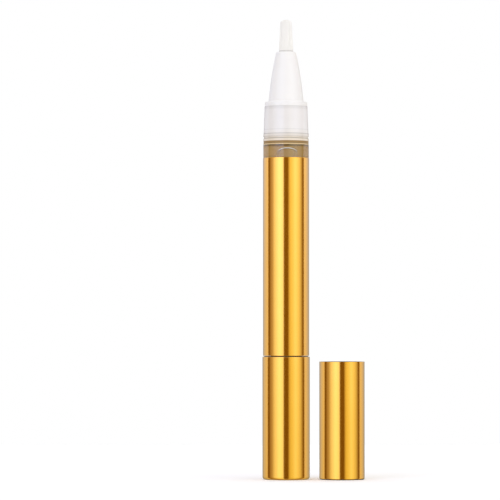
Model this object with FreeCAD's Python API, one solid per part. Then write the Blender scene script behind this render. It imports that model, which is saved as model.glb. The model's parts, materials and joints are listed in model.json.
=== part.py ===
import FreeCAD, Part
import math
import os

# Twist-up nail oil pen, uncapped, with its cap standing beside it on its closed end.
# Millimetres, +Z up the pen, origin at the centre of the base that the pen stands on.
# Turning the knob turns a flatted screw rod in a fixed nut, which lifts the piston and
# pushes oil through a feed tube into the brush.

# Outer form, from the base up
knob_length = 31.1
knob_proud = 0.155
seam_gap = 0.25
barrel_dia = 11.7
barrel_length = 50.25
window_length = 3.65
gasket_thickness = 0.6
collar_length = 8.85
flange_height = 1.1
cone_length = 12.8
tip_length = 8.2

# How far each outer piece lies inside the barrel's skin
window_inset = 0.07
gasket_inset = 0.13
collar_foot_inset = 0.09
collar_root_inset = 0.16
collar_top_inset = 0.41
flange_inset = 0.47
cap_inset = 0.1

# Drawn aluminium skins
sleeve_wall = 0.2
cup_wall = 0.2
cup_floor = 0.4
knob_edge = 0.7
rim_round = 0.1

# Fits: glued or pressed, held, sealing, running, end play, and the overrun of cuts
glue_gap = 0.02
fit_gap = 0.05
seal_gap = 0.03
run_gap = 0.1
turn_gap = 0.25
end_play = 0.2
overrun = 1.0

# Clear reservoir tube with its neck
tube_wall = 0.6
shoulder_thickness = 0.8
shoulder_round = 0.3
neck_wall = 0.55
bead_height = 0.12
bead_width = 0.8
bead_drop = 3.2

# Collar, gasket and O-ring
collar_wall = 0.675
collar_rim = 0.75
collar_foot_height = 1.9
collar_groove_width = 0.5
collar_groove_depth = 0.15
collar_groove_rise = 0.62
ring_section = 0.72
ring_rise = 3.05

# White nozzle cone
flange_round = 0.25
flange_ledge = 0.98
cone_foot_round = 0.5
cone_bulge = 0.18
cone_tip_wall = 0.7
cone_tip_round = 0.55
stem_wall = 0.8
stem_length = 5.95
root_depth = 7.6

# Brush, feed tube and its holder
tuft_dia = 3.7
tuft_end_dia = 3.0
tuft_dome = 0.5
root_lip = 0.65
root_height = 1.0
feed_dia = 1.2
feed_wall = 0.2
feed_tip_depth = 2.5
feed_tail = 1.0
holder_flange = 1.5
holder_tail_dia = 2.4
holder_tail = 3.0
holder_chamfer = 0.3

# Screw rod, drive sleeve and nut
rod_flat_depth = 0.5
rod_store = 1.5
rod_neck_inset = 0.3
rod_neck = 1.0
rod_head_lip = 0.4
rod_head = 1.5
rod_chamfer = 0.4
key_engagement = 3.3
drive_wall = 0.6
drive_key_wall = 0.8
drive_flange = 1.0
drive_grip = 11.0
nut_height = 4.55
nut_rim = 1.535
nut_dish_depth = 1.2

# Lugs that key the nut to the ratchet sleeve, and that sleeve to the tube
lug_count = 2
lug_sweep_deg = 24.0
lug_height = 0.6

# Piston
piston_length = 5.7
piston_rest_gap = 0.4
piston_end_gap = 0.3
piston_lip = 1.1
piston_waist = 0.35
piston_recess = 0.6
piston_dome = 0.3

# Ratchet sleeve and click ring
ratchet_length = 8.15
ratchet_flange = 1.0
ratchet_wall = 0.585
ratchet_lip = 0.9
tooth_count = 12
tooth_height = 0.3
hub_wall = 0.4
arm_count = 3
arm_thickness = 0.4
arm_room = 0.4
arm_sweep_deg = 85.0
arm_root_sweep_deg = 20.0
nose_sweep_deg = 18.0

# Plastic liner of the knob
liner_wall = 1.0
liner_web = 1.5
liner_rim_inset = 0.15
boss_rise = 1.65
boss_seat = 2.0
rib_count = 4
rib_thickness = 0.8

# Cap: drawn shell and plastic liner
cap_length = 29.85
cap_edge = 0.4
cap_rim_round = 0.03
cap_stand_gap = 2.42
cap_liner_wall = 0.78
cap_liner_floor = 1.2
cap_liner_chamfer = 0.4

# Heights that follow from the lengths
knob_top = knob_length
barrel_bottom = knob_top + seam_gap
barrel_top = barrel_bottom + barrel_length
shoulder_top = barrel_top + window_length
shoulder_under = shoulder_top - shoulder_thickness
collar_bottom = shoulder_top + gasket_thickness
collar_top = collar_bottom + collar_length
flange_top = collar_top + flange_height
cone_top = flange_top + cone_length
tip_top = cone_top + tip_length
neck_top = collar_top - collar_rim - fit_gap
bead_bottom = collar_top - bead_drop
stem_bottom = collar_top - stem_length
ring_height = stem_bottom + ring_rise
root_top = cone_top - root_depth
root_bottom = root_top - root_height
holder_under = flange_top - holder_flange
holder_bottom = holder_under - holder_tail
feed_bottom = holder_bottom - feed_tail
feed_top = cone_top - feed_tip_depth
tube_bottom = barrel_bottom + ratchet_flange

# Heights of the drive: the ratchet sleeve carries the nut, and the nut sets the piston's rest
nut_bottom = barrel_bottom + ratchet_length
nut_top = nut_bottom + nut_height
drive_top = nut_bottom - end_play
drive_bottom = knob_top - drive_grip
drive_flange_under = drive_top - drive_flange
lip_top = drive_flange_under - end_play
lip_bottom = lip_top - ratchet_lip
boss_bottom = drive_bottom - boss_seat
boss_top = knob_top + boss_rise
piston_bottom = nut_top + piston_rest_gap
piston_top = piston_bottom + piston_length

# The stroke is what the chamber leaves above the piston, or what the knob can store of the rod
chamber_stroke = shoulder_under - piston_end_gap - piston_top
stored_stroke = drive_top - key_engagement - (cup_floor + rod_store)
stroke = min(chamber_stroke, stored_stroke)
rod_bottom = drive_top - key_engagement - stroke

# Diameters of the outer pieces, which follow the barrel
knob_dia = barrel_dia + 2 * knob_proud
window_dia = barrel_dia - 2 * window_inset
gasket_dia = barrel_dia - 2 * gasket_inset
collar_foot_dia = barrel_dia - 2 * collar_foot_inset
collar_root_dia = barrel_dia - 2 * collar_root_inset
collar_top_dia = barrel_dia - 2 * collar_top_inset
flange_dia = barrel_dia - 2 * flange_inset
cone_base_dia = flange_dia - 2 * flange_ledge
cap_dia = barrel_dia - 2 * cap_inset

# Diameters and radii that follow from the fits, from the skin to the screw rod
tube_dia = barrel_dia - 2 * (sleeve_wall + glue_gap)
tube_bore = tube_dia - 2 * tube_wall
core_dia = tube_bore - 2 * glue_gap
piston_dia = tube_bore - 2 * seal_gap
collar_bore = collar_top_dia - 2 * collar_wall
neck_dia = collar_bore - 2 * fit_gap
neck_bore = neck_dia - 2 * neck_wall
stem_dia = neck_bore - 2 * fit_gap
stem_bore = stem_dia - 2 * stem_wall
root_dia = tuft_dia + 2 * root_lip
root_bore = root_dia + 2 * fit_gap
tip_bore = tuft_dia + 2 * fit_gap
cone_tip_dia = tip_bore + 2 * cone_tip_wall
feed_bore = feed_dia + 2 * fit_gap
tooth_root_radius = core_dia / 2 - ratchet_wall
tooth_crest_radius = tooth_root_radius - tooth_height
arm_outer_radius = tooth_crest_radius - run_gap
arm_inner_radius = arm_outer_radius - arm_thickness
hub_radius = arm_inner_radius - arm_room
drive_flange_radius = tooth_root_radius - turn_gap
boss_radius = tooth_crest_radius - turn_gap
grip_dia = 2 * (hub_radius - hub_wall)
drive_dia = grip_dia - 2 * fit_gap
drive_bore = drive_dia - 2 * drive_wall
rod_dia = drive_bore - 2 * run_gap
rod_flats = rod_dia - 2 * rod_flat_depth
rod_neck_dia = rod_flats - 2 * rod_neck_inset
rod_head_dia = rod_neck_dia + 2 * rod_head_lip
drive_bore_flats = rod_flats + 2 * run_gap
drive_flats = drive_bore_flats + 2 * drive_key_wall
grip_flats = drive_flats + 2 * fit_gap
nut_bore = rod_dia + 2 * fit_gap
liner_dia = knob_dia - 2 * (cup_wall + glue_gap)
cap_bore = cap_dia - 2 * cup_wall
cap_liner_dia = cap_bore - 2 * glue_gap
cap_offset = knob_dia / 2 + cap_stand_gap + cap_dia / 2

# On the pen the cap's mouth goes down to where the collar's taper fills it, with its liner on the flange
taper_share = (cap_bore - collar_top_dia) / (collar_root_dia - collar_top_dia)
cap_mouth_depth = flange_height + taper_share * (collar_length - collar_foot_height)
cap_liner_top = cap_length - cap_mouth_depth

# Where the middle of a quarter arc lies, as a share of its radius from the corner that it rounds
corner_share = 1 - math.sqrt(0.5)

UP = FreeCAD.Vector(0, 0, 1)
CENTRE = FreeCAD.Vector(0, 0, 0)


def on_axis(height):
    return FreeCAD.Vector(0, 0, height)


def turned(*outline):
    """Solid of revolution about Z. Each step is (radius, height), or (middle, end) for an arc."""
    edges = []
    here = FreeCAD.Vector(outline[0][0], 0, outline[0][1])
    for step in outline[1:] + outline[:1]:
        if isinstance(step[0], tuple):
            middle, end = (FreeCAD.Vector(radius, 0, height) for radius, height in step)
            edges.append(Part.Arc(here, middle, end).toShape())
        else:
            end = FreeCAD.Vector(step[0], 0, step[1])
            edges.append(Part.LineSegment(here, end).toShape())
        here = end
    return Part.Face(Part.Wire(edges)).revolve(CENTRE, UP, 360)


def foot_arc(radius, height, size):
    """Quarter arc from (radius - size, height) out and up to (radius, height + size)."""
    inset = size * corner_share
    return ((radius - inset, height + inset), (radius, height + size))


def rim_arc(radius, height, size):
    """Quarter arc from (radius, height - size) up and in to (radius - size, height)."""
    inset = size * corner_share
    return ((radius - inset, height - inset), (radius - size, height))


def bowl_arc(radius, height, size):
    """Quarter arc from (radius, height + size) down and in to (radius - size, height)."""
    inset = size * corner_share
    return ((radius - inset, height + inset), (radius - size, height))


def hollow_arc(radius, height, size):
    """Concave quarter arc from (radius + size, height) in and up to (radius, height + size)."""
    inset = size * corner_share
    return ((radius + inset, height + inset), (radius, height + size))


def disc(radius, bottom, top):
    return Part.makeCylinder(radius, top - bottom, on_axis(bottom))


def ring(outer_dia, inner_dia, bottom, top):
    outer, inner = outer_dia / 2, inner_dia / 2
    return turned((inner, bottom), (outer, bottom), (outer, top), (inner, top))


def double_d(dia, flats, bottom, top):
    """Round bar with two flats facing +Y and -Y."""
    corner = FreeCAD.Vector(-dia / 2, -flats / 2, bottom)
    return disc(dia / 2, bottom, top).common(Part.makeBox(dia, flats, top - bottom, corner))


def sector(inner_radius, outer_radius, bottom, top, start_deg, sweep_deg):
    """Piece of a ring that starts at start_deg and sweeps towards larger angles."""
    wedge = Part.makeCylinder(outer_radius, top - bottom, on_axis(bottom), UP, sweep_deg)
    piece = wedge.cut(disc(inner_radius, bottom, top))
    piece.rotate(CENTRE, UP, start_deg)
    return piece


def prism(polar_points, bottom, top):
    """Upright prism over a polygon given as (radius, angle in degrees)."""
    corners = []
    for radius, angle_deg in polar_points:
        angle = math.radians(angle_deg)
        corners.append(FreeCAD.Vector(radius * math.cos(angle), radius * math.sin(angle), bottom))
    return Part.Face(Part.makePolygon(corners + corners[:1])).extrude(on_axis(top - bottom))


def lugs(inner_radius, outer_radius, bottom, top, slack=0):
    """Lugs round a rim; a slack widens them into the notches that take such lugs."""
    slack_deg = math.degrees(slack / outer_radius)
    pieces = []
    for lug in range(lug_count):
        start = lug * 360 / lug_count - lug_sweep_deg / 2 - slack_deg
        pieces.append(sector(inner_radius, outer_radius, bottom, top, start, lug_sweep_deg + 2 * slack_deg))
    return pieces


def inner_edge(edge):
    """Radius of a drawn cup's inside corner."""
    return max(edge - cup_wall, rim_round)


def drawn_cup(dia, height, edge, rim):
    """Drawn aluminium cup that stands on its closed end, with a rounded foot and rim."""
    outer, inner = dia / 2, dia / 2 - cup_wall
    corner = inner_edge(edge)
    return turned(
        (0, 0), (outer - edge, 0), foot_arc(outer, 0, edge),
        (outer, height - rim), rim_arc(outer, height, rim),
        (inner, height), (inner, cup_floor + corner), bowl_arc(inner, cup_floor, corner), (0, cup_floor),
    )


def knob_shell():
    return drawn_cup(knob_dia, knob_length, knob_edge, rim_round)


def knob_liner():
    """Moulded insert: outer tube, web with a rim in the seam, boss that grips the drive sleeve, ribs."""
    outer, inner = liner_dia / 2, liner_dia / 2 - liner_wall
    rim, rim_top = outer - liner_rim_inset, barrel_bottom - run_gap
    chamfer = inner_edge(knob_edge)
    body = turned(
        (inner, cup_floor), (outer - chamfer, cup_floor), (outer, cup_floor + chamfer), (outer, knob_top),
        (rim, knob_top), (rim, rim_top), (boss_radius, rim_top), (boss_radius, boss_top),
        (0, boss_top), (0, boss_bottom),
        (boss_radius, boss_bottom), (boss_radius, knob_top - liner_web), (inner, knob_top - liner_web),
    )
    reach = (inner + outer) / 2
    ribs = []
    for rib in range(rib_count):
        corner = FreeCAD.Vector(0, -rib_thickness / 2, boss_bottom)
        plate = Part.makeBox(reach, rib_thickness, knob_top - boss_bottom, corner)
        plate.rotate(CENTRE, UP, rib * 360 / rib_count)
        ribs.append(plate)
    body = body.fuse(ribs).removeSplitter()
    grip = double_d(grip_dia, grip_flats, drive_bottom, boss_top + overrun)
    rod_way = disc(drive_bore / 2, boss_bottom - overrun, boss_top)
    return body.cut([grip, rod_way]).removeSplitter()


def drive_sleeve():
    """Flatted tube that turns with the knob; its flange is held between the nut and the ratchet lip."""
    body = double_d(drive_dia, drive_flats, drive_bottom, drive_top)
    flange = disc(drive_flange_radius, drive_flange_under, drive_top)
    bore = double_d(drive_bore, drive_bore_flats, drive_bottom - overrun, drive_top + overrun)
    return body.fuse(flange).removeSplitter().cut(bore)


def click_ring():
    """Ring keyed to the drive sleeve, with springy arms whose noses sit in the ratchet's teeth."""
    bottom, top = boss_top, lip_bottom - end_play
    arm_middle = (arm_outer_radius + arm_inner_radius) / 2
    nose_tip = tooth_root_radius - fit_gap
    slack_deg = math.degrees(fit_gap / tooth_root_radius)
    pieces = []
    for arm in range(arm_count):
        start = arm * 360 / arm_count + slack_deg
        root_start = start + arm_sweep_deg - arm_root_sweep_deg / 2
        nose = [(arm_middle, start), (nose_tip, start), (arm_middle, start + nose_sweep_deg)]
        pieces.append(sector(arm_inner_radius, arm_outer_radius, bottom, top, start, arm_sweep_deg))
        pieces.append(sector(grip_dia / 2, arm_outer_radius, bottom, top, root_start, arm_root_sweep_deg))
        pieces.append(prism(nose, bottom, top))
    body = disc(hub_radius, bottom, top).fuse(pieces).removeSplitter()
    return body.cut(double_d(grip_dia, grip_flats, bottom - overrun, top + overrun)).removeSplitter()


def screw_rod():
    """Flatted lead screw, plain at its thread's outer diameter, with a snap head for the piston."""
    shaft_top = piston_bottom + piston_recess - run_gap
    neck_top_end = shaft_top + rod_neck
    head_top = neck_top_end + rod_head
    neck, head = rod_neck_dia / 2, rod_head_dia / 2
    button = turned(
        (0, shaft_top - rod_chamfer), (neck, shaft_top - rod_chamfer), (neck, neck_top_end),
        (head, neck_top_end), (head, head_top - rod_chamfer), (head - rod_chamfer, head_top), (0, head_top),
    )
    return double_d(rod_dia, rod_flats, rod_bottom, shaft_top).fuse(button).removeSplitter()


def piston():
    """Two-lipped piston with an undercut socket that snaps over the rod's head."""
    lip, waist = piston_dia / 2, piston_dia / 2 - piston_waist
    recess = nut_bore / 2 + run_gap
    neck, chamber = rod_neck_dia / 2 + run_gap, rod_head_dia / 2 + run_gap
    ledge = piston_bottom + piston_recess
    chamber_bottom = ledge + rod_neck - 2 * run_gap
    chamber_top = chamber_bottom + rod_head + 2 * run_gap
    front = piston_top - piston_dome
    return turned(
        (0, chamber_top), (chamber, chamber_top), (chamber, chamber_bottom), (neck, chamber_bottom),
        (neck, ledge), (recess, ledge), (recess, piston_bottom),
        (lip, piston_bottom), (lip, piston_bottom + piston_lip),
        (waist, piston_bottom + piston_lip + piston_waist),
        (waist, front - piston_lip - piston_waist), (lip, front - piston_lip), (lip, front),
        (lip - piston_dome, piston_top), (0, piston_top),
    )


def feed_nut():
    """Fixed nut on the ratchet sleeve, keyed to it by lugs; plain at the thread's diameter."""
    outer, bore, dish = core_dia / 2, nut_bore / 2, core_dia / 2 - nut_rim
    body = turned(
        (bore, nut_bottom), (outer, nut_bottom), (outer, nut_top), (dish, nut_top),
        (dish, nut_top - nut_dish_depth), (bore, nut_top - nut_dish_depth),
    )
    keys = lugs(tooth_root_radius, outer, nut_bottom - lug_height, nut_top)
    return body.fuse(keys).removeSplitter()


def ratchet_sleeve():
    """Fixed sleeve in the foot of the tube: saw teeth inside, a lip and a pocket for the drive flange."""
    outer, flange, pocket = core_dia / 2, tube_dia / 2, tooth_root_radius
    lip = drive_dia / 2 + turn_gap
    body = turned(
        (boss_radius, barrel_bottom), (flange, barrel_bottom), (flange, tube_bottom), (outer, tube_bottom),
        (outer, nut_bottom), (pocket, nut_bottom), (pocket, lip_top), (lip, lip_top), (lip, lip_bottom),
        (boss_radius, lip_bottom),
    )
    keys = lugs((pocket + outer) / 2, flange, barrel_bottom, tube_bottom + lug_height)
    body = body.fuse(keys).removeSplitter()
    pitch_deg = 360 / tooth_count
    teeth = []
    for tooth in range(tooth_count):
        teeth.append((tooth_root_radius, tooth * pitch_deg))
        teeth.append((tooth_crest_radius, (tooth + 1) * pitch_deg))
    notch_bottom = nut_bottom - lug_height - fit_gap
    notches = lugs(drive_flange_radius, outer + overrun, notch_bottom, nut_bottom + overrun, fit_gap)
    return body.cut([prism(teeth, barrel_bottom - overrun, lip_bottom)] + notches).removeSplitter()


def barrel_sleeve():
    """Drawn aluminium sleeve over the reservoir, with rounded ends."""
    outer, inner = barrel_dia / 2, barrel_dia / 2 - sleeve_wall
    return turned(
        (inner, barrel_bottom), (outer - rim_round, barrel_bottom),
        foot_arc(outer, barrel_bottom, rim_round), (outer, barrel_top - rim_round),
        rim_arc(outer, barrel_top, rim_round), (inner, barrel_top),
    )


def reservoir_tube():
    """Clear tube: its top is the oil window, on a ledge over the sleeve; its neck holds the collar."""
    outer, window, bore = tube_dia / 2, window_dia / 2, tube_bore / 2
    neck, throat = neck_dia / 2, neck_bore / 2
    ledge = barrel_top + glue_gap
    bead = ((neck + bead_height, bead_bottom + bead_width / 2), (neck, bead_bottom + bead_width))
    body = turned(
        (bore, tube_bottom), (outer, tube_bottom), (outer, ledge), (window, ledge),
        (window, shoulder_top - shoulder_round), rim_arc(window, shoulder_top, shoulder_round),
        (neck, shoulder_top), (neck, bead_bottom), bead,
        (neck, neck_top), (throat, neck_top), (throat, shoulder_under), (bore, shoulder_under),
    )
    notch_top = tube_bottom + lug_height + fit_gap
    return body.cut(lugs(bore - overrun, outer + overrun, tube_bottom - overrun, notch_top, fit_gap))


def oil_fill():
    """Oil from the piston's face through the neck to the underside of the feed tube's holder."""
    bore, throat, stem = (dia / 2 - seal_gap for dia in (tube_bore, neck_bore, stem_bore))
    low, high = piston_top + seal_gap, holder_under - seal_gap
    shoulder, stem_end = shoulder_under - seal_gap, stem_bottom - seal_gap
    column = turned(
        (0, low), (bore, low), (bore, shoulder), (throat, shoulder), (throat, stem_end),
        (stem, stem_end), (stem, high), (0, high),
    )
    tail = disc(holder_tail_dia / 2 + seal_gap, holder_bottom - seal_gap, high + overrun)
    tube = disc(feed_dia / 2 + seal_gap, feed_bottom - seal_gap, high + overrun)
    return column.cut([tail, tube]).removeSplitter()


def shoulder_gasket():
    """Dark soft washer between the collar and the reservoir's shoulder."""
    return ring(gasket_dia, neck_dia + 2 * fit_gap, shoulder_top, collar_bottom)


def collar():
    """Translucent collar snapped on the neck: the cap grips its taper, above its grooved foot."""
    foot, root, top = collar_foot_dia / 2, collar_root_dia / 2, collar_top_dia / 2
    bore, throat = collar_bore / 2, stem_dia / 2 + fit_gap
    foot_top = collar_bottom + collar_foot_height
    groove = collar_bottom + collar_groove_rise
    groove_top = groove + collar_groove_width
    rim_under = collar_top - collar_rim
    snap_top = bead_bottom + bead_width + fit_gap
    snap = ((bore + bead_height, bead_bottom + bead_width / 2), (bore, bead_bottom - fit_gap))
    return turned(
        (bore, collar_bottom), (foot, collar_bottom), (foot, groove), (foot - collar_groove_depth, groove),
        (foot - collar_groove_depth, groove_top), (foot, groove_top), (foot, foot_top), (root, foot_top),
        (top, collar_top), (throat, collar_top), (throat, rim_under), (bore, rim_under),
        (bore, snap_top), snap,
    )


def seal_ring():
    """O-ring in the stem's groove, closing the stem against the neck."""
    section = ring_section / 2
    return Part.makeTorus(neck_bore / 2 - fit_gap - section, section, on_axis(ring_height))


def nozzle_cone():
    """White cone with a flange on the collar, a plug stem with an O-ring groove, and a stepped bore."""
    flange, base, tip = flange_dia / 2, cone_base_dia / 2, cone_tip_dia / 2
    stem, stem_in, root, tip_in = stem_dia / 2, stem_bore / 2, root_bore / 2, tip_bore / 2
    groove = neck_bore / 2 - ring_section - 2 * fit_gap
    groove_bottom = ring_height - ring_section / 2 - fit_gap
    groove_top = ring_height + ring_section / 2 + fit_gap
    foot_top, tip_edge = flange_top + cone_foot_round, cone_top - cone_tip_round
    ogive = (((base + tip) / 2 + cone_bulge, (foot_top + tip_edge) / 2), (tip, tip_edge))
    return turned(
        (stem_in, stem_bottom), (stem, stem_bottom), (stem, groove_bottom), (groove, groove_bottom),
        (groove, groove_top), (stem, groove_top), (stem, collar_top), (flange, collar_top),
        (flange, flange_top - flange_round), rim_arc(flange, flange_top, flange_round),
        (base + cone_foot_round, flange_top), hollow_arc(base, flange_top, cone_foot_round),
        ogive, rim_arc(tip, cone_top, cone_tip_round),
        (tip_in, cone_top), (tip_in, root_top), (root, root_top), (root, flange_top), (stem_in, flange_top),
    )


def brush_tuft():
    """Nylon tuft fused into a root disc, tapering to a blunt domed end; hollow for the feed tube."""
    root, shank, end, bore = root_dia / 2, tuft_dia / 2, tuft_end_dia / 2, feed_bore / 2
    bore_top = feed_top + fit_gap
    dome_radius = (end ** 2 + tuft_dome ** 2) / (2 * tuft_dome)
    half_angle = math.asin(end / dome_radius) / 2
    dome_middle = (dome_radius * math.sin(half_angle), tip_top - dome_radius * (1 - math.cos(half_angle)))
    return turned(
        (bore, root_bottom), (root, root_bottom), (root, root_top), (shank, root_top), (shank, cone_top),
        (end, tip_top - tuft_dome), (dome_middle, (0, tip_top)), (0, bore_top), (bore, bore_top),
    )


def tube_holder():
    """Plug in the stem that carries the feed tube and clamps the tuft's root against the cone."""
    bore, spigot, tail = feed_bore / 2, root_dia / 2, holder_tail_dia / 2
    flange = stem_bore / 2 - fit_gap
    return turned(
        (bore, holder_bottom), (tail, holder_bottom), (tail, holder_under),
        (flange - holder_chamfer, holder_under), (flange, holder_under + holder_chamfer),
        (flange, flange_top), (spigot, flange_top), (spigot, root_bottom), (bore, root_bottom),
    )


def feed_tube():
    """Thin tube from the oil up into the heart of the tuft."""
    return ring(feed_dia, feed_dia - 2 * feed_wall, feed_bottom, feed_top)


def beside(shape):
    """Moves a cap piece from the pen's axis to where the cap stands."""
    shape.translate(FreeCAD.Vector(cap_offset, 0, 0))
    return shape


def cap_shell():
    return beside(drawn_cup(cap_dia, cap_length, cap_edge, cap_rim_round))


def cap_liner():
    """Plastic inner cap: clears the cone and the brush, and its rim seats on the cone's flange."""
    outer, inner = cap_liner_dia / 2, cap_liner_dia / 2 - cap_liner_wall
    inside = cup_floor + cap_liner_floor
    corner = inner_edge(cap_edge)
    return beside(turned(
        (0, cup_floor), (outer - corner, cup_floor), (outer, cup_floor + corner), (outer, cap_liner_top),
        (inner + cap_liner_chamfer, cap_liner_top), (inner, cap_liner_top - cap_liner_chamfer),
        (inner, inside + corner), bowl_arc(inner, inside, corner), (0, inside),
    ))


PIECES = (
    knob_shell, knob_liner, drive_sleeve, click_ring, screw_rod, piston, feed_nut, ratchet_sleeve,
    barrel_sleeve, reservoir_tube, oil_fill, shoulder_gasket, collar, seal_ring, nozzle_cone,
    brush_tuft, tube_holder, feed_tube, cap_shell, cap_liner,
)


def main():
    os.makedirs("parts", exist_ok=True)
    for make in PIECES:
        shape = make()
        shape.exportStep(os.path.join("parts", make.__name__ + ".step"))
        print(make.__name__, len(shape.Solids), "solid", shape.isValid(), round(shape.Volume, 2), "mm3")
    print("stroke", round(stroke, 3), "height", round(tip_top, 3), "cap at x", round(cap_offset, 3), "mm")


main()
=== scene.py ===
"""Looks of a twist-up nail oil pen: gold skins, oil window, collar, cone, brush and cap."""

import json
import math
import random

import bpy
from bpy.props import FloatProperty, FloatVectorProperty, IntProperty, PointerProperty
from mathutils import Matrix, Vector


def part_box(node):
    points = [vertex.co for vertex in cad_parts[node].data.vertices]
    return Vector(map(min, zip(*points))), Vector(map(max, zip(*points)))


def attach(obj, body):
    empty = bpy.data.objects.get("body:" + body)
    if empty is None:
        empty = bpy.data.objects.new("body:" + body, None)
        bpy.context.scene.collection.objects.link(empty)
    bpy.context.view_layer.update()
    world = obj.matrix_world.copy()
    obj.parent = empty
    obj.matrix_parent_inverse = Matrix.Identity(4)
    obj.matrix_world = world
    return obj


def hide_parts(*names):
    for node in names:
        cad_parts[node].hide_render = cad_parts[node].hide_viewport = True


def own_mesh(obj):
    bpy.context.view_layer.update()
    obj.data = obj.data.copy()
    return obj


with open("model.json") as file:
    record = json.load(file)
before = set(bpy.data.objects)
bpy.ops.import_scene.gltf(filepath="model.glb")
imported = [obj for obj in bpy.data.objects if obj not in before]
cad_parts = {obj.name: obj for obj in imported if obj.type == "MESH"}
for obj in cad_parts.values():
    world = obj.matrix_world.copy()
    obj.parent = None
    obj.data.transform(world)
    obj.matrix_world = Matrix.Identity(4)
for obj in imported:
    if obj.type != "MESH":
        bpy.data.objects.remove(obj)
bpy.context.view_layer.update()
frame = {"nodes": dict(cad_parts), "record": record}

NODES = frame["nodes"]
MM = 0.001
MICRON = 0.001 * MM

# The studio's ramps hold light as a share of this level
BRIGHTEST = 3.0

# Heights that the pieces share
COLLAR_FOOT, COLLAR_TOP = (corner.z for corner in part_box("collar"))
SHOULDER_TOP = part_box("shoulder_gasket")[0].z
STEM_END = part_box("nozzle_cone")[0].z
JOINTS = {joint["name"]: joint for joint in frame["record"]["behaviour"]["joints"]}
STROKE = JOINTS["piston_slide"]["range_m"][1]
SHOULDER = JOINTS["piston_slide"]["deforming_nodes"][0]["fixed_end_z_m"]
BUBBLE_CROWN, BUBBLE_MIDDLE = SHOULDER - 0.5 * MM, 0.27 * MM

bl_info = {
    "name": "Nail oil pen",
    "version": (1, 0, 0),
    "blender": (4, 5, 0),
    "location": "View3D > Sidebar > Oil pen",
    "description": "Dresses a twist-up nail oil pen with its finishes, brush, oil and screw thread",
    "category": "Object",
}


def srgb(red, green, blue):
    """Linear colour of an 8-bit screen colour."""
    shares = (level / 255 for level in (red, green, blue))
    return tuple(s / 12.92 if s <= 0.04045 else ((s + 0.055) / 1.055) ** 2.4 for s in shares)


def size(label, text, default):
    """Length property in metres, from a default in millimetres."""
    return FloatProperty(
        name=label, description=text, default=default * MM, min=0.0, unit="LENGTH", precision=5,
    )


def tint(label, text, colour):
    """Colour property, from an 8-bit screen colour."""
    return FloatVectorProperty(
        name=label, description=text, default=srgb(*colour), subtype="COLOR", min=0.0, max=1.0,
    )


class PenColours(bpy.types.PropertyGroup):
    """Colours of the finishes."""

    gold: tint("Gold", "Anodised aluminium of the barrel, knob and cap", (236, 178, 60))
    # Painted shade: the inside of the cap's mouth is bare aluminium, coloured dark to stand in for the shade
    # in the mouth
    cap_mouth_shade: tint("Raw aluminium", "Dull inside of the cap's mouth", (58, 44, 20))
    clear: tint("Clear plastic", "Reservoir tube and feed tube", (254, 254, 253))
    # Painted light: pale amber on the shoulder's rounded edge stands in for the light the edge bends from
    # the oil
    shoulder: tint("Shoulder edge", "Rounded edge over the oil window", (240, 210, 158))
    milky: tint("Collar", "Translucent plastic of the collar", (255, 251, 249))
    # Painted light: the collar's foot is tinted amber to stand in for the oil's light showing through it
    collar_foot_oil_glow: tint("Collar foot", "The same plastic at its foot, where the oil tints it", (252, 238, 218))
    white: tint("White plastic", "Nozzle cone, holder and cap liner", (249, 246, 244))
    nylon: tint("Nylon", "Filaments of the brush", (252, 250, 247))
    oil: tint("Oil", "Oil in the reservoir", (216, 170, 94))
    gasket: tint("Gasket", "Soft ring under the collar", (158, 126, 78))
    seal: tint("O-ring", "Silicone ring on the cone's stem", (226, 224, 218))
    drive: tint("Drive", "Moulded pieces of the drive", (236, 233, 225))
    # Painted shade: the knob liner is coloured near-black so the seam between knob and barrel shows as a
    # shaded gap
    liner: tint("Knob liner", "Dark moulding in the knob, seen in the seam", (22, 15, 6))
    rod: tint("Screw rod", "Moulded screw rod", (240, 240, 238))
    piston: tint("Piston", "Soft moulded piston", (242, 244, 245))


class PenSizes(bpy.types.PropertyGroup):
    """Sizes of what is added to the solids."""

    filament_count: IntProperty(
        name="Filaments", description="Filaments in the brush", default=260, min=20, max=600,
    )
    filament_dia: size("Filament diameter", "Thickness of one nylon filament", 0.2)
    thread_lead: size("Thread lead", "Rise of the screw thread in one turn", 2.0)
    thread_depth: size("Thread depth", "Depth of the screw thread", 0.32)
    bubble_width: size("Bubble width", "Width of the air bubble under the reservoir's shoulder", 4.8)
    bubble_arch: size("Bubble arch", "How far the bubble's top edge arches up", 1.2)
    bubble_depth: size("Bubble depth", "How far that bubble presses the oil away from the wall", 0.8)


class PenStage(bpy.types.PropertyGroup):
    """Camera and light."""

    camera_distance: size("Camera distance", "From the camera to the pen's axis", 900.0)
    camera_height: size("Camera height", "Of the camera above the floor", 40.0)
    view_side: size("View side", "How far the picture's middle lies to the left of the pen", 9.17)
    view_height: size("View height", "Height of the picture's middle above the floor", 58.2)
    view_width: size("View width", "Width of the picture at the pen", 127.0)
    light_level: FloatProperty(
        name="Light level", description="Brightness of the studio", default=1.0, min=0.0,
    )
    floor: tint("Floor", "Pale floor", (245, 245, 246))


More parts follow.
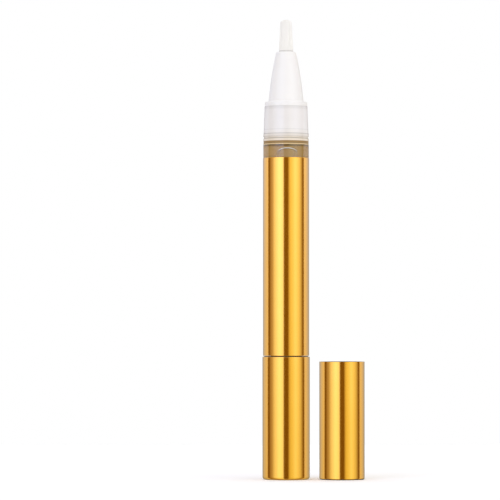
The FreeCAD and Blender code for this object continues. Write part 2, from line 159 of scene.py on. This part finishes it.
class Socket:
    """An output in a node tree; sums and products of outputs add their Math nodes."""

    def __init__(self, tree, output=None):
        self.tree = tree
        self.output = output

    def node(self, kind, settings=None, inputs=None, give=None):
        """Adds a node: its settings are set first, then its sockets take values or links."""
        made = self.tree.nodes.new(kind)
        for key, value in (settings or {}).items():
            if key == "stops":
                stops = made.color_ramp.elements
                while len(stops) < len(value):
                    stops.new(1.0)
                for stop, (place, colour) in zip(stops, value):
                    stop.position = place
                    stop.color = (*colour, 1.0)
            elif key == "interpolation" and kind == "ShaderNodeValToRGB":
                made.color_ramp.interpolation = value
            else:
                setattr(made, key, value)
        for key, value in (inputs or {}).items():
            if isinstance(value, Socket):
                self.tree.links.new(value.output, made.inputs[key])
            else:
                made.inputs[key].default_value = value
        outputs = [o for o in made.outputs if o.enabled]
        return Socket(self.tree, made.outputs[give] if give else outputs[0] if outputs else None)

    def math(self, operation, *values):
        return self.node("ShaderNodeMath", {"operation": operation}, dict(enumerate(values)))

    def __add__(self, other):
        return self.math("ADD", self, other)

    __radd__ = __add__

    def __sub__(self, other):
        return self.math("SUBTRACT", self, other)

    def __rsub__(self, other):
        return self.math("SUBTRACT", other, self)

    def __mul__(self, other):
        return self.math("MULTIPLY", self, other)

    __rmul__ = __mul__

    def __truediv__(self, other):
        return self.math("DIVIDE", self, other)

    def noise(self, scale, detail=2.0, stretch=(1.0, 1.0, 1.0)):
        """Soft noise over the object's own metres, with features about 1/scale apart."""
        place = self.node("ShaderNodeTexCoord", give="Object")
        scales = [scale * share for share in stretch]
        place = self.node("ShaderNodeMapping", None, {"Vector": place, "Scale": scales})
        inputs = {"Vector": place, "Scale": 1.0, "Detail": detail}
        return self.node("ShaderNodeTexNoise", None, inputs, "Fac")

    def rise(self, bottom, top):
        """How far up between two heights, from 0 to 1."""
        place = self.node("ShaderNodeTexCoord", give="Object")
        height = self.node("ShaderNodeSeparateXYZ", None, {"Vector": place}, "Z")
        inputs = {"Value": height, "From Min": bottom, "From Max": top}
        return self.node("ShaderNodeMapRange", None, inputs)

    def within(self, across, radius):
        """1 inside an upright cylinder whose axis stands at this distance along X, otherwise 0."""
        place = self.node("ShaderNodeTexCoord", give="Object")
        parts = [self.node("ShaderNodeSeparateXYZ", None, {"Vector": place}, give) for give in "XY"]
        out = parts[0] - across
        return self.math("LESS_THAN", out * out + parts[1] * parts[1], radius * radius)

    def blend(self, share, low, high):
        """Colour between low and high."""
        inputs = {0: share, 6: low, 7: high}
        return self.node("ShaderNodeMix", {"data_type": "RGBA"}, inputs, 2)

    def relief(self, height, depth):
        """Normal of a surface with this relief, whose depth is in metres."""
        return self.node("ShaderNodeBump", None, {"Height": height, "Strength": 1.0, "Distance": depth})


def finish(name, dress):
    """New material whose Principled surface takes what dress returns: values for its sockets."""
    material = bpy.data.materials.new(name)
    material.use_nodes = True
    tree = material.node_tree
    tree.nodes.clear()
    start = Socket(tree)
    surface = start.node("ShaderNodeBsdfPrincipled", None, dress(start))
    start.node("ShaderNodeOutputMaterial", None, {"Surface": surface})
    return material


def paler(colour, share):
    """Colour moved this share of the way to white, with its alpha."""
    return (*(1 - (1 - c) * (1 - share) for c in colour), 1.0)


def deeper(colour, share):
    """Colour moved this share of the way to black, with its alpha."""
    return (*(c * (1 - share) for c in colour), 1.0)


def gold_finish(colours):
    """Drawn, anodised aluminium with fine lines along its axis; inside the cap's mouth it is dull bare
    metal, painted dark as shade.
    """
    def dress(start):
        lines = start.noise(9000.0, 3.0, (1.0, 1.0, 0.012))
        clouds = start.noise(160.0)
        dull, pale = deeper(colours.gold, 0.06), paler(colours.gold, 0.03)
        bright = start.blend(clouds * 0.6 + lines * 0.4, dull, pale)
        low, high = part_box("cap_shell")
        skin = 0.05 * MM
        inside = start.within((low.x + high.x) / 2, (high.x - low.x) / 2 - skin)
        return {
            # The mouth's inside takes the painted shade colour
            "Base Color": start.blend(inside, bright, (*colours.cap_mouth_shade, 1.0)),
            "Metallic": 1 - inside * 0.7,
            "Roughness": 0.1 + lines * 0.08 + inside * 0.4,
            "Coat Weight": 1 - inside,
            "Coat Roughness": 0.08,
            "Coat IOR": 1.5,
            "Normal": start.relief(lines, 0.8 * MICRON),
        }
    return finish("gold_aluminium", dress)


def clear_finish(colours):
    """Clear moulded plastic with a faint flow in its wall; the thin neck inside the collar is hazier, and a
    pale amber band painted on the shoulder's rounded edge stands in for the light it bends from the oil.
    """
    material = bpy.data.materials.new("clear_plastic")
    material.use_nodes = True
    material.node_tree.nodes.clear()
    start = Socket(material.node_tree)
    flow = start.noise(260.0, 2.0, (1.0, 1.0, 0.5))
    wall = {
        "Base Color": start.blend(flow, deeper(colours.clear, 0.02), (*colours.clear, 1.0)),
        "Roughness": 0.02 + flow * 0.03,
        "IOR": 1.5,
        "Normal": start.relief(flow, 4 * MICRON),
    }
    edge, hair = SHOULDER_TOP - 0.4 * MM, 0.01 * MM
    above = start.rise(SHOULDER_TOP - hair, SHOULDER_TOP)
    window = start.node("ShaderNodeBsdfPrincipled", None, {**wall, "Transmission Weight": 1.0})
    # The band just under the gasket takes the painted amber of the shoulder's edge
    hazy = {
        **wall,
        "Base Color": start.blend(above, (*colours.shoulder, 1.0), wall["Base Color"]),
        "Alpha": 0.8 - above * 0.5,
    }
    neck = start.node("ShaderNodeBsdfPrincipled", None, hazy)
    both = start.node("ShaderNodeMixShader", None, {0: start.rise(edge, edge + hair), 1: window, 2: neck})
    start.node("ShaderNodeOutputMaterial", None, {"Surface": both})
    return material


def milky_finish(colours):
    """Natural polypropylene: lets shapes inside show softly; its colour carries painted shade at its ring
    lines, at the stem's end and under its rim, and a painted amber glow of the oil at its foot.
    """
    def dress(start):
        flow = start.noise(320.0, 3.0)
        milky, oil_glow = colours.milky, colours.collar_foot_oil_glow
        tall, stem = (COLLAR_TOP - COLLAR_FOOT) / MM, (STEM_END - COLLAR_FOOT) / MM
        # Height above the foot in millimetres, painted light level (under 1 is painted shade), and share of
        # the oil's painted amber glow
        shade = [
            (0.0, 1.0, 1.0), (0.5, 1.0, 0.95), (0.56, 0.6, 0.9), (0.72, 0.62, 0.9),
            (0.78, 0.97, 0.8), (1.02, 0.95, 0.65), (1.07, 0.84, 0.6), (1.16, 0.86, 0.55),
            (1.22, 0.93, 0.5), (1.74, 0.93, 0.35), (1.8, 0.64, 0.3), (1.9, 0.64, 0.25), (1.96, 1.0, 0.15),
            (stem - 0.1, 1.0, 0.05), (stem - 0.05, 0.88, 0.0),
            (stem + 0.05, 0.88, 0.0), (stem + 0.1, 1.0, 0.0),
            (tall - 0.9, 1.0, 0.0), (tall - 0.75, 0.94, 0.0), (tall - 0.12, 0.9, 0.0), (tall, 0.8, 0.0),
        ]
        stops = []
        for up, light, oil_glow_share in shade:
            stops.append((up / tall, [light * (m + (w - m) * oil_glow_share) for m, w in zip(milky, oil_glow)]))
        # This ramp paints shade at the ring lines, the stem's end and under the rim, and the oil's amber
        # glow at the foot
        height = start.rise(COLLAR_FOOT, COLLAR_TOP)
        painted_collar_light = start.node("ShaderNodeValToRGB", {"stops": stops}, {"Fac": height})
        return {
            "Base Color": start.blend(flow * 0.06, painted_collar_light, (0.8, 0.8, 0.8, 1.0)),
            "Roughness": 0.12 + flow * 0.06,
            "IOR": 1.49,
            "Alpha": 0.82 + flow * 0.08,
            "Normal": start.relief(flow, 4 * MICRON),
        }
    return finish("translucent_plastic", dress)


def moulded_finish(name, colour, rough, grain, relief, extra=None):
    """Opaque moulding with a fine eroded grain and slightly uneven colour."""
    def dress(start):
        fine = start.noise(grain, 3.0)
        clouds = start.noise(180.0)
        sockets = {
            "Base Color": start.blend(clouds, deeper(colour, 0.025), (*colour, 1.0)),
            "Roughness": rough - 0.05 + fine * 0.1,
            "IOR": 1.49,
            "Normal": start.relief(fine, relief),
        }
        sockets.update(extra or {})
        return sockets
    return finish(name, dress)


def nylon_finish(colours):
    """Nylon filaments, each a little different, with painted shadow at their root just above the cone's
    mouth.
    """
    def dress(start):
        strands = start.noise(5200.0, 1.0, (1.0, 1.0, 0.02))
        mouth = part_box("nozzle_cone")[1].z
        filament_tone = start.blend(strands, deeper(colours.nylon, 0.02), (*colours.nylon, 1.0))
        root_shadow_height = 0.35 * MM
        root_shadow_fade = start.rise(mouth, mouth + root_shadow_height)
        return {
            # Painted shadow: the filaments darken towards the cone's mouth, where the gap at the mouth
            # shades them
            "Base Color": start.blend(root_shadow_fade, deeper(colours.nylon, 0.45), filament_tone),
            "Roughness": 0.32 + strands * 0.12,
            "IOR": 1.53,
        }
    return finish("nylon_bristle", dress)


def oil_finish(colours):
    """Amber oil with a faint cloudiness."""
    def dress(start):
        haze = start.noise(300.0, 2.0)
        return {
            "Base Color": start.blend(haze, deeper(colours.oil, 0.05), (*colours.oil, 1.0)),
            "Roughness": 0.0,
            "IOR": 1.47,
            "Transmission Weight": 0.6,
        }
    return finish("oil", dress)


def wear(material, *names):
    """Gives CAD nodes a finish."""
    for name in names:
        slots = NODES[name].data.materials
        slots.clear()
        slots.append(material)


def piece(name, points, faces, material, body, slot, *nodes):
    """New smooth piece in metres that rides on a body and stands for CAD nodes."""
    mesh = bpy.data.meshes.new(name)
    mesh.from_pydata(points, [], faces)
    mesh.polygons.foreach_set("use_smooth", [True] * len(mesh.polygons))
    mesh.materials.append(material)
    mesh.validate()
    made = bpy.data.objects.new(name, mesh)
    bpy.context.scene.collection.objects.link(made)
    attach(made, body)
    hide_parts(*nodes)
    return made


def sharpen(made, degrees):
    """Keeps edges over this angle crisp."""
    made.data.set_sharp_from_angle(angle=math.radians(degrees))


def turned(outline, segments, points, faces):
    """Adds a lathe of (radius, height) steps to points and faces; a radius of 0 closes it on the axis."""
    rows = []
    for radius, height in outline:
        first = len(points)
        if radius == 0:
            points.append((0.0, 0.0, height))
            rows.append([first] * segments)
            continue
        for k in range(segments):
            turn = 2 * math.pi * k / segments
            points.append((radius * math.cos(turn), radius * math.sin(turn), height))
        rows.append(list(range(first, first + segments)))
    for low, high in zip(rows, rows[1:]):
        for k in range(segments):
            j = (k + 1) % segments
            corners = [low[k], low[j], high[j], high[k]]
            face = [c for i, c in enumerate(corners) if c not in corners[:i]]
            if len(face) > 2:
                faces.append(face)


class PEN_OT_gold_skins(bpy.types.Operator):
    """Gold finish on the barrel, knob and cap"""

    bl_idname = "pen.gold_skins"
    bl_label = "Gold skins"

    def execute(self, context):
        wear(gold_finish(context.scene.pen_colours), "barrel_sleeve", "knob_shell", "cap_shell")
        # Knob and cap stand close together and don't mirror each other
        for name in ("knob_shell", "knob_liner", "drive_sleeve", "cap_shell", "cap_liner"):
            NODES[name].visible_glossy = False
        return {"FINISHED"}


class PEN_OT_reservoir(bpy.types.Operator):
    """Clear reservoir with its gasket, O-ring and feed tube"""

    bl_idname = "pen.reservoir"
    bl_label = "Reservoir"

    def execute(self, context):
        colours = context.scene.pen_colours
        wear(clear_finish(colours), "reservoir_tube", "feed_tube")
        wear(moulded_finish("gasket_rubber", colours.gasket, 0.42, 5000.0, 4 * MICRON), "shoulder_gasket")
        wear(moulded_finish("silicone", colours.seal, 0.35, 4000.0, 2 * MICRON), "seal_ring")
        return {"FINISHED"}


class PEN_OT_oil(bpy.types.Operator):
    """Oil under the shoulder, and oil in the neck"""

    bl_idname = "pen.oil"
    bl_label = "Oil"

    def execute(self, context):
        sizes = context.scene.pen_sizes
        amber = oil_finish(context.scene.pen_colours)
        low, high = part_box("oil_fill")
        wet = 0.04 * MM
        points, faces = self.column(low.z, SHOULDER, high.x + wet, sizes)
        column = piece("oil_column", points, faces, amber, "barrel", "oil", "oil_fill")
        sharpen(column, 40)
        keep = 1 - STROKE / (SHOULDER - low.z)
        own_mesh(column)
        into_wall = 0.12 * MM
        edge = self.bubble_glint_thread(high.x + into_wall, sizes)
        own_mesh(edge)
        points, faces = [], []
        film = 0.02 * MM
        throat, stem = 4.175 * MM, 3.325 * MM
        bottom, stem_end = SHOULDER + film, STEM_END - film
        neck = [
            (0, bottom), (throat, bottom), (throat, stem_end), (stem, stem_end), (stem, high.z), (0, high.z),
        ]
        turned(neck, 96, points, faces)
        sharpen(piece("oil_neck", points, faces, amber, "barrel", "oil", "oil_fill"), 40)
        return {"FINISHED"}

    def bubble_glint_thread(self, radius, sizes):
        """Pale mirror thread along the bubble's rim at the wall, a painted highlight that stands in for the
        glint of the rim; thin at both ends.
        """
        half, arch, thick, steps, sides = sizes.bubble_width / 2, sizes.bubble_arch, 0.18 * MM, 40, 8
        points, faces = [], []
        for step in range(steps + 1):
            lean = math.radians(-88 + 176 * step / steps)
            x, z = BUBBLE_MIDDLE + half * math.sin(lean), BUBBLE_CROWN - arch + arch * math.cos(lean)
            turn = math.atan2(-math.sqrt(radius ** 2 - x ** 2), x)
            slim = thick * (0.25 + 0.75 * math.cos(lean))
            for k in range(sides):
                way = 2 * math.pi * k / sides
                out = radius + slim * (math.cos(way) - 1) * 0.5
                points.append((out * math.cos(turn), out * math.sin(turn), z + slim * math.sin(way)))
        for step in range(steps):
            for k in range(sides):
                j = (k + 1) % sides
                base = step * sides
                faces.append([base + j, base + k, base + sides + k, base + sides + j])
        faces.append(list(range(sides)))
        faces.append(list(range(steps * sides, (steps + 1) * sides))[::-1])
        # Painted highlight: this pale mirror thread stands in for the light the bubble's rim catches
        mirror = {"Metallic": 1.0}
        pale = moulded_finish("bubble_glint_thread", (0.97, 0.95, 0.91), 0.25, 3000.0, 1 * MICRON, mirror)
        return piece("bubble_glint_thread", points, faces, pale, "barrel", "oil", "oil_fill")

    def column(self, bottom, top, radius, sizes):
        """Round column, its front pressed in under its top by an air bubble that clings to the wall."""
        around, rows, fine = 240, 60, top - 5.0 * MM
        heights = [bottom] + [fine + (top - fine) * k / rows for k in range(rows + 1)]
        half, soft = sizes.bubble_width / 2, 0.25 * MM
        points, faces = [(0.0, 0.0, bottom), (0.0, 0.0, top)], []
        for height in heights:
            for k in range(around):
                turn = 2 * math.pi * k / around
                x, y = radius * math.cos(turn), radius * math.sin(turn)
                up = max(0.0, height - BUBBLE_CROWN + sizes.bubble_arch) / sizes.bubble_arch
                inside = half * (1 - math.hypot((x - BUBBLE_MIDDLE) / half, up))
                press = 0.0
                if y < 0 and height > fine + soft:
                    share = min(1.0, max(0.0, inside / soft))
                    press = sizes.bubble_depth * math.sqrt(1 - (1 - share) ** 2)
                    press *= min(1.0, (height - fine - soft) / soft)
                points.append((x * (1 - press / radius), y * (1 - press / radius), height))
        for row in range(len(heights) - 1):
            base = 2 + row * around
            for k in range(around):
                j = (k + 1) % around
                faces.append([base + k, base + j, base + around + j, base + around + k])
        last = 2 + (len(heights) - 1) * around
        for k in range(around):
            j = (k + 1) % around
            faces.append([0, 2 + j, 2 + k])
            faces.append([1, last + k, last + j])
        return points, faces


class PEN_OT_collar_and_cone(bpy.types.Operator):
    """Translucent collar, white nozzle cone and the feed tube's holder"""

    bl_idname = "pen.collar_and_cone"
    bl_label = "Collar and cone"

    def execute(self, context):
        colours = context.scene.pen_colours
        soft = {"Subsurface Weight": 0.2, "Subsurface Radius": (1.0, 0.95, 0.9), "Subsurface Scale": 0.0006}
        wear(milky_finish(colours), "collar")
        white = moulded_finish("white_plastic", colours.white, 0.36, 4200.0, 2 * MICRON, soft)
        wear(white, "nozzle_cone", "tube_holder")
        return {"FINISHED"}


class PEN_OT_brush(bpy.types.Operator):
    """Nylon filaments from their fused root to the brush's domed end"""

    bl_idname = "pen.brush"
    bl_label = "Brush"

    def execute(self, context):
        sizes = context.scene.pen_sizes
        chance = random.Random(41)
        low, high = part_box("brush_tuft")
        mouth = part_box("nozzle_cone")[1].z
        tube_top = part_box("feed_tube")[1].z
        thick = sizes.filament_dia / 2
        shank, end, hole, dome = 1.85 * MM, 1.5 * MM, 0.65 * MM, 0.5 * MM
        points, faces = [], []
        root_top = low.z + 1.0 * MM
        root = [(hole, low.z), (high.x, low.z), (high.x, root_top), (hole, root_top), (hole, low.z)]
        turned(root, 64, points, faces)
        count = sizes.filament_count
        for k in range(count):
            share = math.sqrt((k + 0.5) / count)
            turn = k * math.pi * (3 - math.sqrt(5)) + chance.uniform(-0.05, 0.05)
            foot = hole + thick + (shank - hole - 2 * thick) * share
            tip = (end - thick) * share * chance.uniform(0.97, 1.03)
            top = high.z - dome * share * share - abs(chance.gauss(0, 0.05)) * MM
            sway = chance.uniform(-0.04, 0.04) * MM
            stations = []
            heights = (
                low.z + 0.5 * MM, tube_top + 0.2 * MM, mouth + 0.6 * MM, (mouth + top) / 2, top - thick,
            )
            for height in heights:
                rise = max(0.0, (height - mouth) / (top - mouth))
                lean = foot + (tip - foot) * rise + sway * rise * (1 - rise)
                stations.append((lean, height, thick * (1 - 0.12 * rise)))
            stations.append((tip, top, thick * 0.45))
            self.filament(stations, turn, points, faces)
        tuft = piece("brush_filaments", points, faces, nylon_finish(context.scene.pen_colours), "barrel",
                     "nylon_bristle", "brush_tuft")
        # Nylon passes light, so the filaments don't shade each other
        tuft.visible_shadow = False
        sharpen(tuft, 50)
        return {"FINISHED"}

    def filament(self, stations, turn, points, faces):
        """One round filament through (distance from the axis, height, radius) steps, closed at both ends."""
        sides = 7
        first = len(points)
        for out, height, radius in stations:
            x, y = out * math.cos(turn), out * math.sin(turn)
            for k in range(sides):
                round_turn = 2 * math.pi * k / sides
                points.append((x + radius * math.cos(round_turn), y + radius * math.sin(round_turn), height))
        for row in range(len(stations) - 1):
            for k in range(sides):
                j = (k + 1) % sides
                base = first + row * sides
                faces.append([base + k, base + j, base + sides + j, base + sides + k])
        faces.append(list(range(first, first + sides))[::-1])
        last = first + (len(stations) - 1) * sides
        faces.append(list(range(last, last + sides)))


class PEN_OT_screw(bpy.types.Operator):
    """Screw rod with its thread cut away at two flats, and its snap head"""

    bl_idname = "pen.screw"
    bl_label = "Screw rod"

    def execute(self, context):
        sizes = context.scene.pen_sizes
        low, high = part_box("screw_rod")
        radius, flat = high.x, high.y
        shaft_top, neck_top = high.z - 2.5 * MM, high.z - 1.5 * MM
        lead, depth = sizes.thread_lead, sizes.thread_depth
        around, per_turn = 56, 14
        rows = round((shaft_top - low.z) / lead * per_turn)
        points, faces = [], []
        for row in range(rows + 1):
            height = low.z + (shaft_top - low.z) * row / rows
            for k in range(around):
                turn = 2 * math.pi * k / around
                phase = (height / lead - k / around) % 1.0
                groove = min(1.0, max(0.0, 2.2 - abs(phase - 0.5) * 6.5))
                reach = radius - depth * groove
                y = min(flat, max(-flat, reach * math.sin(turn)))
                points.append((reach * math.cos(turn), y, height))
        for row in range(rows):
            for k in range(around):
                j = (k + 1) % around
                base = row * around
                faces.append([base + k, base + j, base + around + j, base + around + k])
        faces.append(list(range(around))[::-1])
        faces.append(list(range(rows * around, (rows + 1) * around)))
        neck, head, chamfer = 1.28 * MM, 1.68 * MM, 0.4 * MM
        turned([(0, shaft_top - chamfer), (neck, shaft_top - chamfer), (neck, neck_top), (head, neck_top),
                (head, high.z - chamfer), (head - chamfer, high.z), (0, high.z)], 48, points, faces)
        colours = context.scene.pen_colours
        plastic = moulded_finish("rod_plastic", colours.rod, 0.4, 3800.0, 3 * MICRON)
        rod = piece("threaded_rod", points, faces, plastic, "screw", "rod_plastic", "screw_rod")
        rod.visible_glossy = False
        sharpen(rod, 35)
        return {"FINISHED"}


class PEN_OT_drive(bpy.types.Operator):
    """Moulded finishes of the drive and the piston"""

    bl_idname = "pen.drive"
    bl_label = "Drive"

    def execute(self, context):
        colours = context.scene.pen_colours
        moulded = moulded_finish("drive_plastic", colours.drive, 0.45, 3600.0, 4 * MICRON)
        wear(moulded, "drive_sleeve", "click_ring", "feed_nut", "ratchet_sleeve")
        # The liner's near-black colour is painted shade for the seam
        wear(moulded_finish("liner_plastic", colours.liner, 0.45, 3600.0, 4 * MICRON), "knob_liner")
        wear(moulded_finish("piston_plastic", colours.piston, 0.38, 3000.0, 2 * MICRON), "piston")
        return {"FINISHED"}


class PEN_OT_cap_liner(bpy.types.Operator):
    """White inner cap"""

    bl_idname = "pen.cap_liner"
    bl_label = "Cap liner"

    def execute(self, context):
        colours = context.scene.pen_colours
        wear(moulded_finish("cap_liner_plastic", colours.white, 0.4, 4000.0, 3 * MICRON), "cap_liner")
        return {"FINISHED"}


class PEN_OT_stage(bpy.types.Operator):
    """Pale floor, soft studio light and the camera"""

    bl_idname = "pen.stage"
    bl_label = "Stage"

    def execute(self, context):
        stage = context.scene.pen_stage
        self.floor(stage)
        self.light(context.scene, stage)
        self.camera(context.scene, stage)
        context.scene.view_settings.view_transform = "Standard"
        return {"FINISHED"}

    def floor(self, stage):
        mesh = bpy.data.meshes.new("floor")
        left, right, near, far = -0.25, 0.26, -0.2, 0.25
        corners = [(left, near, 0), (right, near, 0), (right, far, 0), (left, far, 0)]
        mesh.from_pydata(corners, [], [(0, 1, 2, 3)])
        made = bpy.data.objects.new("floor", mesh)
        bpy.context.scene.collection.objects.link(made)
        drop = 0.02 * MM
        made.location.z = -drop
        made.visible_glossy = False
        material = bpy.data.materials.new("floor")
        material.use_nodes = True
        material.node_tree.nodes.clear()
        start = Socket(material.node_tree)
        matt = start.node("ShaderNodeBsdfDiffuse", None, {"Color": (*stage.floor, 1.0)})
        seen = start.node("ShaderNodeLightPath", give="Is Camera Ray")
        through = start.node("ShaderNodeLightPath", give="Is Transmission Ray")
        # Only the camera and clear plastic see this fill, so the shadow stays
        fill = (seen + through) * 0.14
        glow = start.node("ShaderNodeEmission", None, {"Color": (1, 1, 1, 1), "Strength": fill})
        both = start.node("ShaderNodeAddShader", None, {0: matt, 1: glow})
        start.node("ShaderNodeOutputMaterial", None, {"Surface": both})
        mesh.materials.append(material)

    def light(self, scene, stage):
        """Soft neutral dome for matt surfaces, bright panels and dark cards for gloss, and white beyond."""
        world = bpy.data.worlds.new("studio")
        world.use_nodes = True
        world.node_tree.nodes.clear()
        scene.world = world
        start = Socket(world.node_tree)
        direction = start.node("ShaderNodeTexCoord", give="Generated")
        parts = [start.node("ShaderNodeSeparateXYZ", None, {"Vector": direction}, give) for give in "XYZ"]
        turn = start.math("ARCTAN2", parts[0], 0 - parts[1]) / (2 * math.pi) + 0.5
        dome = start.node("ShaderNodeValToRGB", {"stops": self.around(self.dome())}, {"Fac": turn})
        panels = start.node("ShaderNodeValToRGB", {"stops": self.around(self.panels())}, {"Fac": turn})
        tilt = {"Value": parts[2], "From Min": -0.08, "From Max": 0.08}
        height = start.node("ShaderNodeMapRange", None, tilt)
        slope = start.blend(height, (0.84, 0.8, 0.52, 1.0), (1.18, 1.22, 1.5, 1.0))
        rise = start.node("ShaderNodeMapRange", {"interpolation_type": "SMOOTHSTEP"},
                          {"Value": start.math("ABSOLUTE", parts[2]), "From Min": 0.5, "From Max": 0.95})
        graded = start.node("ShaderNodeVectorMath", {"operation": "MULTIPLY"}, {0: panels, 1: slope})
        ends = start.blend(height, (0.15, 0.12, 0.08, 1.0), (0.34, 0.33, 0.32, 1.0))
        steep_share = 0.65
        cards = start.blend(rise * steep_share, graded, ends)
        matt = start.node("ShaderNodeLightPath", give="Is Diffuse Ray")
        upward = {"Value": parts[2], "From Min": 0.3, "From Max": 0.9}
        ceiling = start.node("ShaderNodeMapRange", None, upward)
        soft = start.blend(ceiling, dome, (0.36, 0.357, 0.353, 1.0))
        light = start.blend(matt, cards, soft)
        strength = BRIGHTEST * stage.light_level
        glow = start.node("ShaderNodeBackground", None, {"Color": light, "Strength": strength})
        white = start.node("ShaderNodeBackground", None, {"Color": (1, 1, 1, 1), "Strength": 1.0})
        seen = start.node("ShaderNodeLightPath", give="Is Camera Ray")
        through = start.node("ShaderNodeLightPath", give="Is Transmission Ray")
        plain = start.math("MAXIMUM", seen, through)
        both = start.node("ShaderNodeMixShader", None, {0: plain, 1: glow, 2: white})
        start.node("ShaderNodeOutputWorld", None, {"Surface": both})

    def around(self, levels):
        """Ramp stops by angle from the front, negative to the left, as shares of BRIGHTEST."""
        stops = []
        for angle, colour in levels:
            stops.append(((angle + 180) / 360, [level / BRIGHTEST for level in colour]))
        return stops

    def dome(self):
        """Light on matt surfaces: fullest from the front and right, weaker from the left and behind."""
        levels = [(-180, 0.44), (-125, 0.34), (-70, 0.58), (0, 1.06), (60, 0.94), (125, 0.46), (180, 0.44)]
        return [(angle, (level, level * 0.985, level * 0.97)) for angle, level in levels]

    def panels(self):
        """What gloss mirrors: bright panels with dark cards between them."""
        dark = (0.26, 0.14, 0.01)
        return [
            (-180, (0.36, 0.33, 0.28)), (-160, (0.42, 0.38, 0.32)), (-150, (0.58, 0.54, 0.48)),
            (-140, (0.76, 0.73, 0.68)), (-124, (0.9, 0.87, 0.8)), (-103, (1.1, 1.0, 0.86)),
            (-101, dark), (-90, dark),
            (-86, (0.46, 0.34, 0.2)), (-72, (0.68, 0.56, 0.42)), (-62, (1.1, 1.1, 1.05)),
            (-50, (1.4, 1.45, 1.6)), (-34, (1.7, 1.85, 2.2)), (-15, (1.5, 1.55, 1.7)),
            (-11, dark), (10, dark),
            (13, (0.8, 0.66, 0.3)), (22, (1.15, 1.06, 0.5)), (36, (1.28, 1.28, 0.85)),
            (46, (1.45, 1.5, 1.3)), (58, (1.34, 1.34, 1.0)), (74, (1.0, 0.95, 0.62)),
            (84, (0.6, 0.48, 0.26)),
            (91, dark), (99, dark),
            (101, (1.1, 1.02, 0.9)), (116, (1.0, 0.95, 0.86)), (140, (0.66, 0.62, 0.56)),
            (152, (0.5, 0.46, 0.4)), (180, (0.36, 0.33, 0.28)),
        ]

    def camera(self, scene, stage):
        view = bpy.data.cameras.new("camera")
        view.sensor_width = 36.0
        view.lens = view.sensor_width * stage.camera_distance / stage.view_width
        view.clip_start, view.clip_end = 0.01, 20.0
        made = bpy.data.objects.new("camera", view)
        scene.collection.objects.link(made)
        made.location = (-stage.view_side, -stage.camera_distance, stage.camera_height)
        aim = Vector((-stage.view_side, 0.0, stage.view_height)) - made.location
        made.rotation_euler = aim.to_track_quat("-Z", "Y").to_euler()
        scene.camera = made


class PEN_PT_panel(bpy.types.Panel):
    """Lists the pen's pieces"""

    bl_idname = "PEN_PT_panel"
    bl_label = "Nail oil pen"
    bl_space_type = "VIEW_3D"
    bl_region_type = "UI"
    bl_category = "Oil pen"

    def draw(self, context):
        for kind in OPERATORS:
            self.layout.operator(kind.bl_idname)


GROUPS = {"pen_colours": PenColours, "pen_sizes": PenSizes, "pen_stage": PenStage}
OPERATORS = (
    PEN_OT_gold_skins, PEN_OT_reservoir, PEN_OT_oil, PEN_OT_collar_and_cone, PEN_OT_brush, PEN_OT_screw,
    PEN_OT_drive, PEN_OT_cap_liner, PEN_OT_stage,
)


def register():
    for kind in (*GROUPS.values(), *OPERATORS, PEN_PT_panel):
        bpy.utils.register_class(kind)
    for name, kind in GROUPS.items():
        setattr(bpy.types.Scene, name, PointerProperty(type=kind))


def unregister():
    for name in GROUPS:
        delattr(bpy.types.Scene, name)
    for kind in (PEN_PT_panel, *reversed(OPERATORS), *reversed(GROUPS.values())):
        bpy.utils.unregister_class(kind)


def main():
    register()
    bpy.ops.pen.gold_skins()
    bpy.ops.pen.reservoir()
    bpy.ops.pen.oil()
    bpy.ops.pen.collar_and_cone()
    bpy.ops.pen.brush()
    bpy.ops.pen.screw()
    bpy.ops.pen.drive()
    bpy.ops.pen.cap_liner()
    bpy.ops.pen.stage()


if __name__ == "__main__":
    main()
